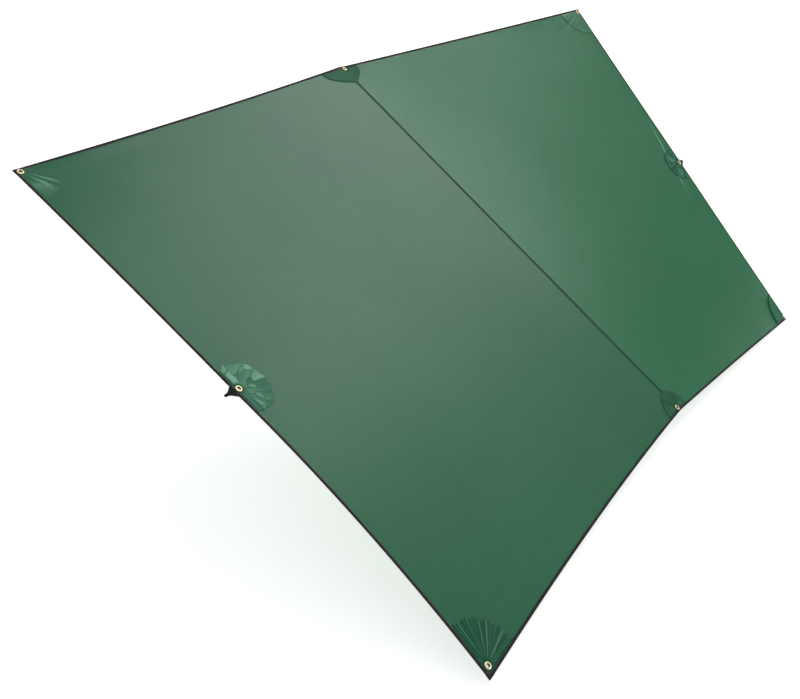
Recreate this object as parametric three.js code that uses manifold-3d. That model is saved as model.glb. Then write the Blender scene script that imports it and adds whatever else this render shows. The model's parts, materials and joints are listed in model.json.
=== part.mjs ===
// Tarp shelter: two coated nylon panels joined by a felled centre seam and pitched as a lean-to.
// The edges are bound with folded tape, eight brass eyelets take the guy lines, and each side
// edge has a webbing loop at its middle. Cloth layers are drawn with a small air gap between them.
//
// Millimetres, +Z up. The origin is the centre of the rear seam eyelet. The raised open front
// faces -Y, the near wing lies on +X and the far wing on -X.

import * as THREE from "three";
import { mergeVertices } from "three/addons/utils/BufferGeometryUtils.js";
import Module from "manifold-3d";

const wasm = await Module();
wasm.setup();

const vec = (x, y, z) => new THREE.Vector3(x, y, z);

// Where the cloth's corners and mid edges are held, from the rear end of the seam.
const seamFront = vec(0, -1445, 1130);
const wings = [
  {
    name: "near",
    side: 1,
    frontCorner: vec(1520, -1455, 970),
    middle: vec(1520, -690, 485),
    rearCorner: vec(1539, 59, -68),
    hollow: { front: 9, rear: 14, sideFront: 3, sideRear: 21 },
    eyeletInsets: { front: 15, middle: 16, rear: 24 },
    sag: 10,
  },
  {
    name: "far",
    side: -1,
    frontCorner: vec(-1485, -1105, 1300),
    middle: vec(-1495, -535, 605),
    rearCorner: vec(-1510, 40, -100),
    hollow: { front: 2, rear: 3, sideFront: 2, sideRear: 2 },
    eyeletInsets: { front: 15, middle: 16, rear: 16 },
    sag: 10,
  },
];

// Cloth: heights are measured from the middle of the panel's thickness.
const clothHalf = 0.4;
const layerGap = 0.3;
const patchThickness = 0.6;
const patchLow = clothHalf + layerGap;
const patchHigh = patchLow + patchThickness;
const seamHalfWidth = 12.6;
const seamHalfThickness = 0.8;
const tapeThickness = 0.8;
const bindingWidth = 8;
const bindingLow = clothHalf + layerGap;
const bindingHigh = bindingLow + tapeThickness;
const bindingOut = layerGap + tapeThickness;

// The wings fold along lines just outside the seam band, and trim starts clear of those lines.
const foldOffset = 13.5;
const trimClear = 2.5;

// Reinforcing patches.
const cornerPatchRadius = 140;
const middlePatchRadius = 80;
const middlePatchInset = 42;
const seamPatchRadius = 88;

// Eyelets and their washers. The flange lies over the tape and the washer under it.
const seamEyeletInset = 15;
const eyeletHole = 5;
const eyeletBarrel = 5.6;
const eyeletRim = 10;
const clothHole = 6;
const panelPunchReach = 3;
const patchPunchReach = 6;
const seamPatchThickness = 0.4;
const seamTapeLift = seamHalfThickness - clothHalf;
const flangeThickness = 1.1;
const flangeLow = bindingHigh + seamTapeLift + layerGap;
const flangeHigh = flangeLow + flangeThickness;
const washerThickness = 0.8;
const washerHigh = -bindingHigh - layerGap;
const washerLow = washerHigh - washerThickness;
const clenchThickness = 0.8;
const clenchLow = washerLow - layerGap - clenchThickness;
const clenchRim = 7.6;
const turnSegments = 16;

// Webbing loops.
const loopBaseHalf = 17.5;
const loopTipHalf = 4.5;
const loopReach = 34;
const loopHalfThickness = 1.2;
const loopPivot = 3;
const eyeBaseHalf = 6;
const eyeTipHalf = 3;
const eyeStart = 8;
const eyeEnd = 25;
const tailLength = 5.6;
const tailThickness = 1.2;
const bartackHalf = 14;
const bartackThickness = 0.5;
const tackInner = 5;
const tackOuter = 2;

const material = (color, roughness, metalness = 0) =>
  new THREE.MeshStandardMaterial({ color, roughness, metalness });
const canopyFabric = material("#3f7055", 0.55);
const patchFabric = material("#2f6148", 0.55);
const bindingTape = material("#3c3338", 0.85);
const webbing = material("#2b2529", 0.85);
const thread = material("#24352c", 0.8);
const brass = material("#e2cf96", 0.3, 1);

const shelter = new THREE.Group();
const seamDirection = seamFront.clone().normalize();
const seamLength = seamFront.length();
shelter.position.copy(seamDirection).multiplyScalar(-seamEyeletInset);

// Adds one finished piece to the shelter.
function addPiece(name, geometry, finish) {
  const mesh = new THREE.Mesh(geometry, finish);
  mesh.name = name;
  shelter.add(mesh);
  return mesh;
}

// --- Solids ---------------------------------------------------------------------------------

// The geometry as a manifold solid, its shared vertices merged.
function toSolid(geometry) {
  const bare = geometry.clone();
  bare.deleteAttribute("normal");
  bare.deleteAttribute("uv");
  const merged = mergeVertices(bare, 1e-4);
  const mesh = new wasm.Mesh({
    numProp: 3,
    vertProperties: new Float32Array(merged.attributes.position.array),
    triVerts: new Uint32Array(merged.index.array),
  });
  return new wasm.Manifold(mesh);
}

// A manifold solid as geometry.
function toGeometry(solid) {
  const mesh = solid.getMesh();
  const geometry = new THREE.BufferGeometry();
  const positions = new Float32Array(mesh.numVert * 3);
  for (let i = 0; i < mesh.numVert; i++) {
    const start = i * mesh.numProp;
    positions.set(mesh.vertProperties.subarray(start, start + 3), i * 3);
  }
  geometry.setAttribute("position", new THREE.BufferAttribute(positions, 3));
  geometry.setIndex(new THREE.BufferAttribute(new Uint32Array(mesh.triVerts), 1));
  geometry.computeVertexNormals();
  return geometry;
}

// A closed ring of points carried through stations: each station is the same number of points.
function sweptGeometry(stations) {
  const count = stations[0].length;
  const points = stations.flat();
  const index = [];
  for (let s = 0; s + 1 < stations.length; s++) {
    for (let p = 0; p < count; p++) {
      const a = s * count + p;
      const b = s * count + ((p + 1) % count);
      index.push(a, b, a + count, b, b + count, a + count);
    }
  }
  const origin = stations[0][0];
  const edgeA = stations[0][1].clone().sub(origin).normalize();
  const outward = stations[1][0].clone().sub(origin).normalize();
  const edgeB = outward.clone().cross(edgeA).normalize();
  const flat = stations[0].map((point) => {
    const offset = point.clone().sub(origin);
    return new THREE.Vector2(offset.dot(edgeA), offset.dot(edgeB));
  });
  const turn = (ring) => Math.sign(THREE.ShapeUtils.area(ring));
  const last = (stations.length - 1) * count;
  for (let [a, b, c] of THREE.ShapeUtils.triangulateShape(flat, [])) {
    if (turn([flat[a], flat[b], flat[c]]) !== turn(flat)) [b, c] = [c, b];
    index.push(a, c, b, last + a, last + b, last + c);
  }
  return closedGeometry(points, index);
}

// Points and triangles as geometry whose faces point outwards.
function closedGeometry(points, index) {
  const geometry = new THREE.BufferGeometry().setFromPoints(points);
  let volume = 0;
  for (let i = 0; i < index.length; i += 3) {
    const [a, b, c] = [points[index[i]], points[index[i + 1]], points[index[i + 2]]];
    volume += a.clone().cross(b).dot(c);
  }
  if (volume < 0) {
    for (let i = 0; i < index.length; i += 3) {
      [index[i + 1], index[i + 2]] = [index[i + 2], index[i + 1]];
    }
  }
  geometry.setIndex(index);
  geometry.computeVertexNormals();
  return geometry;
}

// --- The cloth surface of one wing ----------------------------------------------------------

// How far the middle of a held edge stands out at v, softened by blur away from the edge.
function tent(v, blur) {
  const away = 2 * v - 1;
  return Math.hypot(1, blur) - Math.hypot(away, blur);
}

const arch = (t) => 4 * t * (1 - t);

// Gives a wing its surface: u runs from the fold line to the side edge, v from rear to front.
function giveSurface(wing) {
  const foldRear = vec(wing.side * foldOffset, 0, 0);
  const sideAt = (v) => wing.rearCorner.clone().lerp(wing.frontCorner, v);
  const lift = wing.middle.clone().sub(sideAt(0.5));
  const { hollow } = wing;

  const flat = (u, v) => {
    const fold = foldRear.clone().addScaledVector(seamFront, v);
    const edge = sideAt(v);
    const inward = fold.clone().sub(edge).normalize();
    const sideHollow =
      v < 0.5 ? hollow.sideRear * arch(2 * v) : hollow.sideFront * arch(2 * v - 1);
    const endHollow =
      hollow.rear * arch(u) * (1 - v) ** 2 - hollow.front * arch(u) * v ** 2;
    const droop = wing.sag * Math.sin(Math.PI * u) * Math.sin(Math.PI * v);
    return fold
      .lerp(edge, u)
      .addScaledVector(lift, tent(v, 0.5 * (1 - u)) * u ** 5)
      .addScaledVector(inward, sideHollow * u ** 2)
      .addScaledVector(seamDirection, endHollow)
      .add(vec(0, 0, -droop));
  };

  wing.width = wing.rearCorner.distanceTo(foldRear);
  wing.length = wing.rearCorner.distanceTo(wing.frontCorner);

  // A point on the surface, or height above it. Past an edge the surface goes straight on.
  wing.at = (u, v, height = 0) => {
    const [cu, cv] = [Math.min(Math.max(u, 0), 1), Math.min(Math.max(v, 0), 1)];
    const step = 0.004;
    const [ua, ub] = [Math.max(cu - step, 0), Math.min(cu + step, 1)];
    const [va, vb] = [Math.max(cv - step, 0), Math.min(cv + step, 1)];
    const alongU = flat(ub, cv).sub(flat(ua, cv)).divideScalar(ub - ua);
    const alongV = flat(cu, vb).sub(flat(cu, va)).divideScalar(vb - va);
    const normal = alongU.clone().cross(alongV).normalize();
    if (normal.z < 0) normal.negate();
    return flat(cu, cv)
      .addScaledVector(alongU, u - cu)
      .addScaledVector(alongV, v - cv)
      .addScaledVector(normal, height);
  };

  // A place given as [share of the whole, millimetres past that share].
  wing.u = ([share, past]) => share + past / wing.width;
  wing.v = ([share, past]) => share + past / wing.length;

  wing.normal = (u, v) => wing.at(u, v, 1).sub(wing.at(u, v)).normalize();
}

// Grid lines that every layer of a wing shares, so that the layers' facets lie parallel.
const acrossLines = [
  [0, layerGap],
  [0, 60],
  [0.2, 0],
  [0.36, 0],
  [0.52, 0],
  [0.68, 0],
  [0.84, 0],
  [1, -150],
  [1, -75],
  [1, -bindingWidth - layerGap],
  [1, 0],
];
const alongLines = [
  [0, 0],
  [0, bindingWidth + layerGap],
  [0, 75],
  [0, 150],
  [0.2, 0],
  [0.33, 0],
  [0.5, -90],
  [0.5, -45],
  [0.5, 0],
  [0.5, 45],
  [0.5, 90],
  [0.67, 0],
  [0.8, 0],
  [1, -150],
  [1, -75],
  [1, -bindingWidth - layerGap],
  [1, 0],
];

// A layer of cloth over the given grid lines, between two heights.
function layerGeometry(wing, across, along, low, high) {
  const points = [];
  for (const height of [low, high]) {
    for (const row of along) {
      for (const column of across) {
        points.push(wing.at(wing.u(column), wing.v(row), height));
      }
    }
  }
  const columns = across.length;
  const rows = along.length;
  const top = columns * rows;
  const index = [];
  for (let r = 0; r + 1 < rows; r++) {
    for (let c = 0; c + 1 < columns; c++) {
      const a = r * columns + c;
      const b = a + columns;
      index.push(a, b, a + 1, a + 1, b, b + 1);
      index.push(top + a, top + a + 1, top + b, top + a + 1, top + b + 1, top + b);
    }
  }
  const rim = [];
  for (let c = 0; c < columns; c++) rim.push(c);
  for (let r = 1; r < rows; r++) rim.push(r * columns + columns - 1);
  for (let c = columns - 2; c >= 0; c--) rim.push((rows - 1) * columns + c);
  for (let r = rows - 2; r > 0; r--) rim.push(r * columns);
  rim.forEach((a, i) => {
    const b = rim[(i + 1) % rim.length];
    index.push(a, b, top + a, b, top + b, top + a);
  });
  return closedGeometry(points, index);
}

// The frame of a place on a wing: its centre, and a turn whose Y axis is the cloth's normal.
function placeOn(wing, u, v) {
  const turn = new THREE.Quaternion().setFromUnitVectors(vec(0, 1, 0), wing.normal(u, v));
  return { centre: wing.at(u, v), turn };
}

// A round punch through the cloth at a place.
function punch(place, radius, reach, segments) {
  const cylinder = new THREE.CylinderGeometry(radius, radius, 2 * reach, segments);
  cylinder.applyQuaternion(place.turn);
  cylinder.translate(place.centre.x, place.centre.y, place.centre.z);
  return toSolid(cylinder);
}

// --- Eyelets --------------------------------------------------------------------------------

// A closed profile of [radius, height] points turned about the height axis.
function turned(profile) {
  const closed = [...profile, profile[0]];
  const points = closed.map(([radius, height]) => new THREE.Vector2(radius, height));
  const geometry = new THREE.LatheGeometry(points, turnSegments);
  geometry.deleteAttribute("normal");
  geometry.deleteAttribute("uv");
  const merged = mergeVertices(geometry, 1e-4);
  const vertices = [];
  for (let i = 0; i < merged.attributes.position.count; i++) {
    vertices.push(vec(0, 0, 0).fromBufferAttribute(merged.attributes.position, i));
  }
  const index = [...merged.index.array];
  const whole = [];
  for (let i = 0; i < index.length; i += 3) {
    const [a, b, c] = index.slice(i, i + 3);
    if (a !== b && b !== c && a !== c) whole.push(a, b, c);
  }
  return closedGeometry(vertices, whole);
}

// A brass eyelet: a flange with a rolled rim, and a barrel clenched over the washer.
const eyeletGeometry = turned([
  [eyeletHole, clenchLow],
  [clenchRim, clenchLow],
  [clenchRim, clenchLow + clenchThickness - 0.1],
  [eyeletBarrel, clenchLow + clenchThickness],
  [eyeletBarrel, flangeLow],
  [eyeletRim - 0.4, flangeLow],
  [eyeletRim, flangeLow + 0.4],
  [eyeletRim - 0.8, flangeHigh],
  [eyeletHole + 1, flangeHigh],
  [eyeletHole, flangeHigh - 0.6],
]);

const washerGeometry = turned([
  [clothHole, washerLow],
  [eyeletRim, washerLow + 0.2],
  [eyeletRim, washerHigh],
  [clothHole, washerHigh],
]);

function addEyelet(name, place) {
  for (const [suffix, geometry] of [
    ["eyelet", eyeletGeometry],
    ["washer", washerGeometry],
  ]) {
    const mesh = addPiece(`${name}_${suffix}`, geometry, brass);
    mesh.position.copy(place.centre);
    mesh.quaternion.copy(place.turn);
  }
}

// --- Panels, patches and bindings -----------------------------------------------------------

// The panel of one wing, pierced for its eyelets.
function addPanel(wing, places) {
  let panel = toSolid(layerGeometry(wing, acrossLines, alongLines, -clothHalf, clothHalf));
  for (const place of places) {
    panel = panel.subtract(punch(place, clothHole, panelPunchReach, turnSegments));
  }
  addPiece(`${wing.name}_panel`, toGeometry(panel), canopyFabric);
}

// A patch: the part of a layer above the panel that lies within a round outline.
function addPatch(name, wing, across, along, outline, hole) {
  const layer = toSolid(layerGeometry(wing, across, along, patchLow, patchHigh));
  let patch = layer.intersect(outline);
  if (hole) patch = patch.subtract(punch(hole, clothHole, patchPunchReach, turnSegments));
  addPiece(name, toGeometry(patch), patchFabric);
}

// The folded tape's section: [distance in from the edge, height], a U lying on its side.
const tapeSection = [
  [bindingWidth, bindingLow],
  [bindingWidth, bindingHigh],
  [-bindingOut, bindingHigh],
  [-bindingOut, -bindingHigh],
  [bindingWidth, -bindingHigh],
  [bindingWidth, -bindingLow],
  [-layerGap, -bindingLow],
  [-layerGap, bindingLow],
];

function addBindings(wing) {
  const side = alongLines.map((row) =>
    tapeSection.map(([inwards, height]) =>
      wing.at(wing.u([1, -inwards]), wing.v(row), height),
    ),
  );
  addPiece(`${wing.name}_side_binding`, sweptGeometry(side), bindingTape);

  const columns = [
    [0, trimClear],
    ...acrossLines.slice(1, -2),
    [1, -bindingWidth - 2 * layerGap],
  ];
  const ends = [
    ["rear", 0, 1],
    ["front", 1, -1],
  ];
  for (const [end, share, inwardSign] of ends) {
    const stations = columns.map((column) =>
      tapeSection.map(([inwards, height]) =>
        wing.at(wing.u(column), wing.v([share, inwardSign * inwards]), height),
      ),
    );
    addPiece(`${wing.name}_${end}_binding`, sweptGeometry(stations), bindingTape);
  }
}

// --- Webbing loops --------------------------------------------------------------------------

// The loop lies flat off the edge: two legs that meet at the tip, with the eye between them.
function loopGeometry() {
  const shape = new THREE.Shape([
    new THREE.Vector2(-loopBaseHalf, loopPivot + layerGap),
    new THREE.Vector2(loopBaseHalf, loopPivot + layerGap),
    new THREE.Vector2(loopTipHalf, loopReach - 3),
    new THREE.Vector2(loopTipHalf - 2, loopReach),
    new THREE.Vector2(2 - loopTipHalf, loopReach),
    new THREE.Vector2(-loopTipHalf, loopReach - 3),
  ]);
  shape.holes.push(
    new THREE.Path([
      new THREE.Vector2(-eyeBaseHalf, eyeStart),
      new THREE.Vector2(-eyeTipHalf, eyeEnd),
      new THREE.Vector2(eyeTipHalf, eyeEnd),
      new THREE.Vector2(eyeBaseHalf, eyeStart),
    ]),
  );
  const geometry = new THREE.ExtrudeGeometry(shape, {
    depth: 2 * loopHalfThickness,
    bevelEnabled: false,
  });
  geometry.translate(0, 0, -loopHalfThickness);
  return geometry;
}

// The loop off the middle of a side edge, with its sewn tail below and its bartack on top.
function addLoop(wing) {
  const edge = wing.at(1, 0.5);
  const outward = edge.clone().sub(wing.at(0.99, 0.5)).normalize();
  const along = wing.frontCorner.clone().sub(wing.rearCorner).normalize();
  outward.addScaledVector(along, -outward.dot(along)).normalize();
  const up = along.clone().cross(outward);
  const loop = addPiece(`${wing.name}_loop`, loopGeometry(), webbing);
  loop.position.copy(edge);
  loop.quaternion.setFromRotationMatrix(new THREE.Matrix4().makeBasis(along, outward, up));

  const rows = (half) => [
    [0.5, -half],
    [0.5, 0],
    [0.5, half],
  ];
  const layer = (from, to, half, low, high) =>
    layerGeometry(wing, [[1, -from], [1, -to]], rows(half), low, high);
  const tailHigh = -bindingHigh - layerGap;
  const tail = layer(tailLength, 0, loopBaseHalf, tailHigh - tailThickness, tailHigh);
  addPiece(`${wing.name}_loop_tail`, tail, webbing);
  const tackLow = bindingHigh + layerGap;
  const tack = layer(tackInner, tackOuter, bartackHalf, tackLow, tackLow + bartackThickness);
  addPiece(`${wing.name}_loop_bartack`, tack, thread);
}

// --- One wing -------------------------------------------------------------------------------

function addWing(wing) {
  giveSurface(wing);
  const { name } = wing;
  const { front: frontInset, middle: middleInset, rear: rearInset } = wing.eyeletInsets;
  const inFromSide = (inset) => wing.u([1, -inset]);
  const places = {
    front_corner: placeOn(wing, inFromSide(frontInset), wing.v([1, -frontInset])),
    middle: placeOn(wing, inFromSide(middleInset), 0.5),
    rear_corner: placeOn(wing, inFromSide(rearInset), wing.v([0, rearInset])),
  };
  addPanel(wing, Object.values(places));
  addBindings(wing);
  for (const [where, place] of Object.entries(places)) addEyelet(`${name}_${where}`, place);

  const patchSegments = 32;
  const cutterReach = 30;
  const outer = acrossLines.slice(-4, -1);
  const inner = [[0, trimClear], ...acrossLines.slice(1, 3)];
  const rear = alongLines.slice(1, 4);
  const front = alongLines.slice(-4, -1);
  const middle = alongLines.slice(6, 11);
  const round = (u, v, radius) => punch(placeOn(wing, u, v), radius, cutterReach, patchSegments);

  const corners = [
    ["front_corner", 1, front],
    ["rear_corner", 0, rear],
  ];
  for (const [where, v, rows] of corners) {
    const outline = round(1, v, cornerPatchRadius);
    addPatch(`${name}_${where}_patch`, wing, outer, rows, outline, places[where]);
  }
  const cutRound = round(inFromSide(middlePatchInset), 0.5, middlePatchRadius);
  addPatch(`${name}_middle_patch`, wing, outer, middle, cutRound, places.middle);
  const seamEnds = [
    ["front_seam", 1, front],
    ["rear_seam", 0, rear],
  ];
  for (const [where, v, rows] of seamEnds) {
    const outline = round(0, v, seamPatchRadius);
    addPatch(`${where}_patch_${name}`, wing, inner, rows, outline);
  }
  addLoop(wing);
}

// --- The centre seam ------------------------------------------------------------------------

// The felled seam is a straight double band between the two fold lines, with patches, bindings
// and eyelets at its two ends.
function addSeam() {
  const acrossAxis = vec(1, 0, 0);
  const up = acrossAxis.clone().cross(seamDirection).normalize();
  if (up.z < 0) up.negate();
  const turn = new THREE.Quaternion().setFromUnitVectors(vec(0, 1, 0), up);
  const at = (across, along, height) =>
    vec(across, 0, 0).addScaledVector(seamDirection, along).addScaledVector(up, height);
  const block = (from, to, low, high) =>
    sweptGeometry(
      [from, to].map((along) => [
        at(-seamHalfWidth, along, low),
        at(seamHalfWidth, along, low),
        at(seamHalfWidth, along, high),
        at(-seamHalfWidth, along, high),
      ]),
    );

  const ends = [
    { name: "rear_seam", from: 0, inwardSign: 1 },
    { name: "front_seam", from: seamLength, inwardSign: -1 },
  ];
  const places = ends.map(({ from, inwardSign }) => ({
    centre: at(0, from + inwardSign * seamEyeletInset, 0),
    turn,
  }));

  let band = toSolid(block(0, seamLength, -clothHalf, seamHalfThickness));
  for (const place of places) {
    band = band.subtract(punch(place, clothHole, panelPunchReach, turnSegments));
  }
  addPiece("centre_seam", toGeometry(band), canopyFabric);

  ends.forEach(({ name, from, inwardSign }, i) => {
    const section = (across) =>
      tapeSection.map(([inwards, height]) =>
        at(across, from + inwardSign * inwards, height > 0 ? height + seamTapeLift : height),
      );
    const tape = sweptGeometry([section(-seamHalfWidth), section(seamHalfWidth)]);
    addPiece(`${name}_binding`, tape, bindingTape);

    const patchFrom = from + inwardSign * (bindingWidth + layerGap);
    const patchTo = from + inwardSign * seamPatchRadius;
    const low = seamHalfThickness + layerGap;
    const patch = toSolid(block(patchFrom, patchTo, low, low + seamPatchThickness));
    const hole = punch(places[i], clothHole, patchPunchReach, turnSegments);
    addPiece(`${name}_patch_centre`, toGeometry(patch.subtract(hole)), patchFabric);
    addEyelet(name, places[i]);
  });
}

addSeam();
wings.forEach(addWing);

export default shelter;
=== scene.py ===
import json

import bpy
import numpy as np
from mathutils import Matrix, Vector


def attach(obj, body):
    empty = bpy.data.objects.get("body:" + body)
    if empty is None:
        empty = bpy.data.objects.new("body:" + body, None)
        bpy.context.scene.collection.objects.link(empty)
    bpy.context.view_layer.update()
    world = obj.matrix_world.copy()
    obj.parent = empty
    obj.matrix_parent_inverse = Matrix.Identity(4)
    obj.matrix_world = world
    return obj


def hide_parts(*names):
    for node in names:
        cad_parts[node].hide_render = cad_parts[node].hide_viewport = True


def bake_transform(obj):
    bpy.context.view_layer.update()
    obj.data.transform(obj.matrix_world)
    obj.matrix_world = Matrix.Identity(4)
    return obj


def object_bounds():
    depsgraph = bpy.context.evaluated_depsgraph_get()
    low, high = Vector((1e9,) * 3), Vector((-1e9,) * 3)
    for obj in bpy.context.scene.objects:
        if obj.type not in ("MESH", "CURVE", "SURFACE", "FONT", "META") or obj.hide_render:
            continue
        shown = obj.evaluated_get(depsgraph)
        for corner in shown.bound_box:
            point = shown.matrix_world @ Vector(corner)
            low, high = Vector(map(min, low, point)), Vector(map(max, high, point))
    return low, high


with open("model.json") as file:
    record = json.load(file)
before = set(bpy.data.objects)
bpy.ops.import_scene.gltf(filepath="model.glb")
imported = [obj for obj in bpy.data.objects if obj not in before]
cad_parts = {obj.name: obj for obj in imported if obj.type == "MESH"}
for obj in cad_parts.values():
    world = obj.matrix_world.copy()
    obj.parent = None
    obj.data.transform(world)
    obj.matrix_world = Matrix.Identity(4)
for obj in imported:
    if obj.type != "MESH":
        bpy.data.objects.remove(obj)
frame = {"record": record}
cad_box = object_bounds()

# --- Studio ---------------------------------------------------------------------------------
# A white floor that glows a little, as a light table does, under an open pale surround. Soft
# lights stand beyond the far wing, where the coated cloth mirrors them as a sheen.

CAMERA_PLACE = (3.144, 0.889, 1.436)
CAMERA_HEADING = 123.32
CAMERA_DIP = 21.07
CAMERA_LEAN = -0.74
CAMERA_LENS = 43.2
FLOOR_HALF = 120.0
FLOOR_CLEAR = 0.001
FLOOR_GLOW = 0.62
SKY_STRENGTH = 0.72


def linear(code):
    """sRGB hex code to linear red, green, blue and alpha."""
    values = np.array([int(code[i:i + 2], 16) / 255 for i in (1, 3, 5)])
    curve = np.where(values <= 0.04045, values / 12.92, ((values + 0.055) / 1.055) ** 2.4)
    return (*curve, 1.0)


def add_node(tree, kind, inputs=None, **settings):
    """Adds a node; an input is a value, or another node's socket to link."""
    node = tree.nodes.new(kind)
    for name, value in settings.items():
        setattr(node, name, value)
    for key, value in (inputs or {}).items():
        if isinstance(value, bpy.types.NodeSocket):
            tree.links.new(value, node.inputs[key])
        else:
            node.inputs[key].default_value = value
    return node


def new_material(name):
    """An empty node material: its tree, and its Principled shader already at the output."""
    material = bpy.data.materials.new(name)
    material.use_nodes = True
    tree = material.node_tree
    return material, tree, tree.nodes["Principled BSDF"]


def new_piece(name, points, faces, material, uv=None, fold=None):
    """A mesh object from point and quad arrays; uv and fold hold one entry for each point."""
    mesh = bpy.data.meshes.new(name)
    mesh.from_pydata(points.reshape(-1, 3).tolist(), [], faces.tolist())
    mesh.update()
    if uv is not None:
        layer = mesh.uv_layers.new(name="cloth")
        corners = np.empty(len(mesh.loops), np.int32)
        mesh.loops.foreach_get("vertex_index", corners)
        layer.data.foreach_set("uv", uv.reshape(-1, 2)[corners].astype(np.float32).ravel())
    if fold is not None:
        crest = mesh.attributes.new("fold", "FLOAT", "POINT")
        crest.data.foreach_set("value", fold.ravel().astype(np.float32))
    mesh.polygons.foreach_set("use_smooth", np.full(len(mesh.polygons), True))
    mesh.materials.append(material)
    obj = bpy.data.objects.new(name, mesh)
    bpy.context.collection.objects.link(obj)
    return obj


scene = bpy.context.scene
scene.view_settings.view_transform = "Standard"

camera_data = bpy.data.cameras.new("camera")
camera_data.lens = CAMERA_LENS
camera = bpy.data.objects.new("camera", camera_data)
camera.matrix_world = (
    Matrix.Translation(CAMERA_PLACE)
    @ Matrix.Rotation(np.radians(CAMERA_HEADING), 4, "Z")
    @ Matrix.Rotation(np.radians(90 - CAMERA_DIP), 4, "X")
    @ Matrix.Rotation(np.radians(CAMERA_LEAN), 4, "Z")
)
bpy.context.collection.objects.link(camera)
scene.camera = camera

floor_material, _, floor_shader = new_material("matt painted floor")
floor_shader.inputs["Base Color"].default_value = linear("#f4f4f2")
floor_shader.inputs["Roughness"].default_value = 0.9
floor_shader.inputs["Specular IOR Level"].default_value = 0.1
floor_shader.inputs["Emission Color"].default_value = linear("#ffffff")
floor_shader.inputs["Emission Strength"].default_value = FLOOR_GLOW
floor_level = cad_box[0][2] - FLOOR_CLEAR
floor_points = np.array([(-1, -1, 0), (1, -1, 0), (1, 1, 0), (-1, 1, 0)]) * FLOOR_HALF
floor_points[:, 2] = floor_level
floor = new_piece("floor", floor_points, np.array([[0, 1, 2, 3]]), floor_material)

world = bpy.data.worlds.new("surround")
world.use_nodes = True
scene.world = world
sky = world.node_tree
sky_place = add_node(sky, "ShaderNodeTexCoord").outputs["Generated"]
sky_parts = add_node(sky, "ShaderNodeSeparateXYZ", {0: sky_place})
sky_ramp = add_node(sky, "ShaderNodeValToRGB", {0: sky_parts.outputs["Z"]})
sky_low, sky_high = sky_ramp.color_ramp.elements
sky_low.position, sky_high.position = 0.05, 0.6
sky_low.color, sky_high.color = linear("#626864"), linear("#ffffff")
background = sky.nodes["Background"]
sky.links.new(sky_ramp.outputs["Color"], background.inputs["Color"])
background.inputs["Strength"].default_value = SKY_STRENGTH


def add_soft_light(name, towards, spread, strength):
    """A distant round light in a direction, spread over an angle in degrees."""
    back = np.array(towards) / np.linalg.norm(towards)
    side = np.cross((0, 0, 1), back)
    side /= np.linalg.norm(side)
    turn = Matrix(np.column_stack([side, np.cross(back, side), back]).tolist())
    light = bpy.data.lights.new(name, "SUN")
    light.energy = strength
    light.angle = np.radians(spread)
    lamp = bpy.data.objects.new(name, light)
    lamp.matrix_world = turn.to_4x4()
    bpy.context.collection.objects.link(lamp)


add_soft_light("near sheen light", (-0.69, -0.01, 0.72), 10, 0.30)
add_soft_light("trailing sheen light", (-0.86, 0.10, 0.50), 10, 0.16)
add_soft_light("far sheen light", (-0.53, 0.24, 0.81), 10, 0.36)
add_soft_light("low far sheen light", (-0.66, 0.36, 0.66), 10, 0.08)

# --- Where the cloth is held ----------------------------------------------------------------
# Eight eyelets hold the shelter. The cloth's corners lie one inset outside them, and the two
# wings start at fold lines beside the straight centre seam.

SEAM_INSET = 0.015
INSETS = {
    "near": {"front": 0.015, "middle": 0.016, "rear": 0.024},
    "far": {"front": 0.015, "middle": 0.016, "rear": 0.016},
}
FLANGE_OUT = 0.0072
FLANGE_UP = 0.0033
FOLD = 0.0135
EX, EY, EZ = np.eye(3)
mounts = {mount["name"]: mount for mount in frame["record"]["mounts"]}


def unit(vectors):
    """Vectors scaled to length one."""
    return vectors / np.linalg.norm(vectors, axis=-1, keepdims=True)


def hole_centre(name):
    """Centre of an eyelet's hole, stepped back from the mount's point on the flange's face."""
    mount = mounts[f"{name}_eyelet_face"]
    normal = np.array(mount["axis"])
    outward = EX - normal[0] / (1 + normal[1]) * (EY + normal)
    return np.array(mount["pos_m"]) - FLANGE_OUT * outward - FLANGE_UP * normal


seam_direction = unit(hole_centre("front_seam") - hole_centre("rear_seam"))
seam_rear = hole_centre("rear_seam") - SEAM_INSET * seam_direction
seam_front = hole_centre("front_seam") + SEAM_INSET * seam_direction
seam_length = np.linalg.norm(seam_front - seam_rear)
seam_up = unit(np.cross(EX, seam_direction))
seam_up = seam_up * np.sign(seam_up[2])

HOLLOWS = {
    "near": {"front": 0.009, "rear": 0.014, "side_front": 0.003, "side_rear": 0.021},
    "far": {"front": 0.002, "rear": 0.003, "side_front": 0.002, "side_rear": 0.002},
}
SAG = 0.010


def held_wing(name, sign):
    """A wing's corners, worked out from its three eyelets and the seam's two."""
    front, middle, rear = (
        hole_centre(f"{name}_{place}") for place in ("front_corner", "middle", "rear_corner")
    )
    front_out = unit(front - hole_centre("front_seam"))
    rear_out = unit(rear - hole_centre("rear_seam"))
    middle_out = unit(middle - (seam_front + seam_rear) / 2)
    inset = INSETS[name]
    wing = {
        "name": name,
        "sign": sign,
        "front": front + inset["front"] * (front_out + unit(front - middle)),
        "middle": middle + inset["middle"] * middle_out,
        "rear": rear + inset["rear"] * (rear_out + unit(rear - middle)),
        "hollow": HOLLOWS[name],
    }
    wing["fold_rear"] = seam_rear + sign * FOLD * EX
    wing["width"] = np.linalg.norm(wing["rear"] - wing["fold_rear"])
    wing["length"] = np.linalg.norm(wing["rear"] - wing["front"])
    wing["lift"] = wing["middle"] - (wing["front"] + wing["rear"]) / 2
    wing["ties"] = {
        "front": (inset["front"], wing["length"] - inset["front"]),
        "middle": (inset["middle"], wing["length"] / 2),
        "rear": (inset["rear"], inset["rear"]),
    }
    return wing


wings = [held_wing("near", 1), held_wing("far", -1)]
near, far = wings


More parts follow.
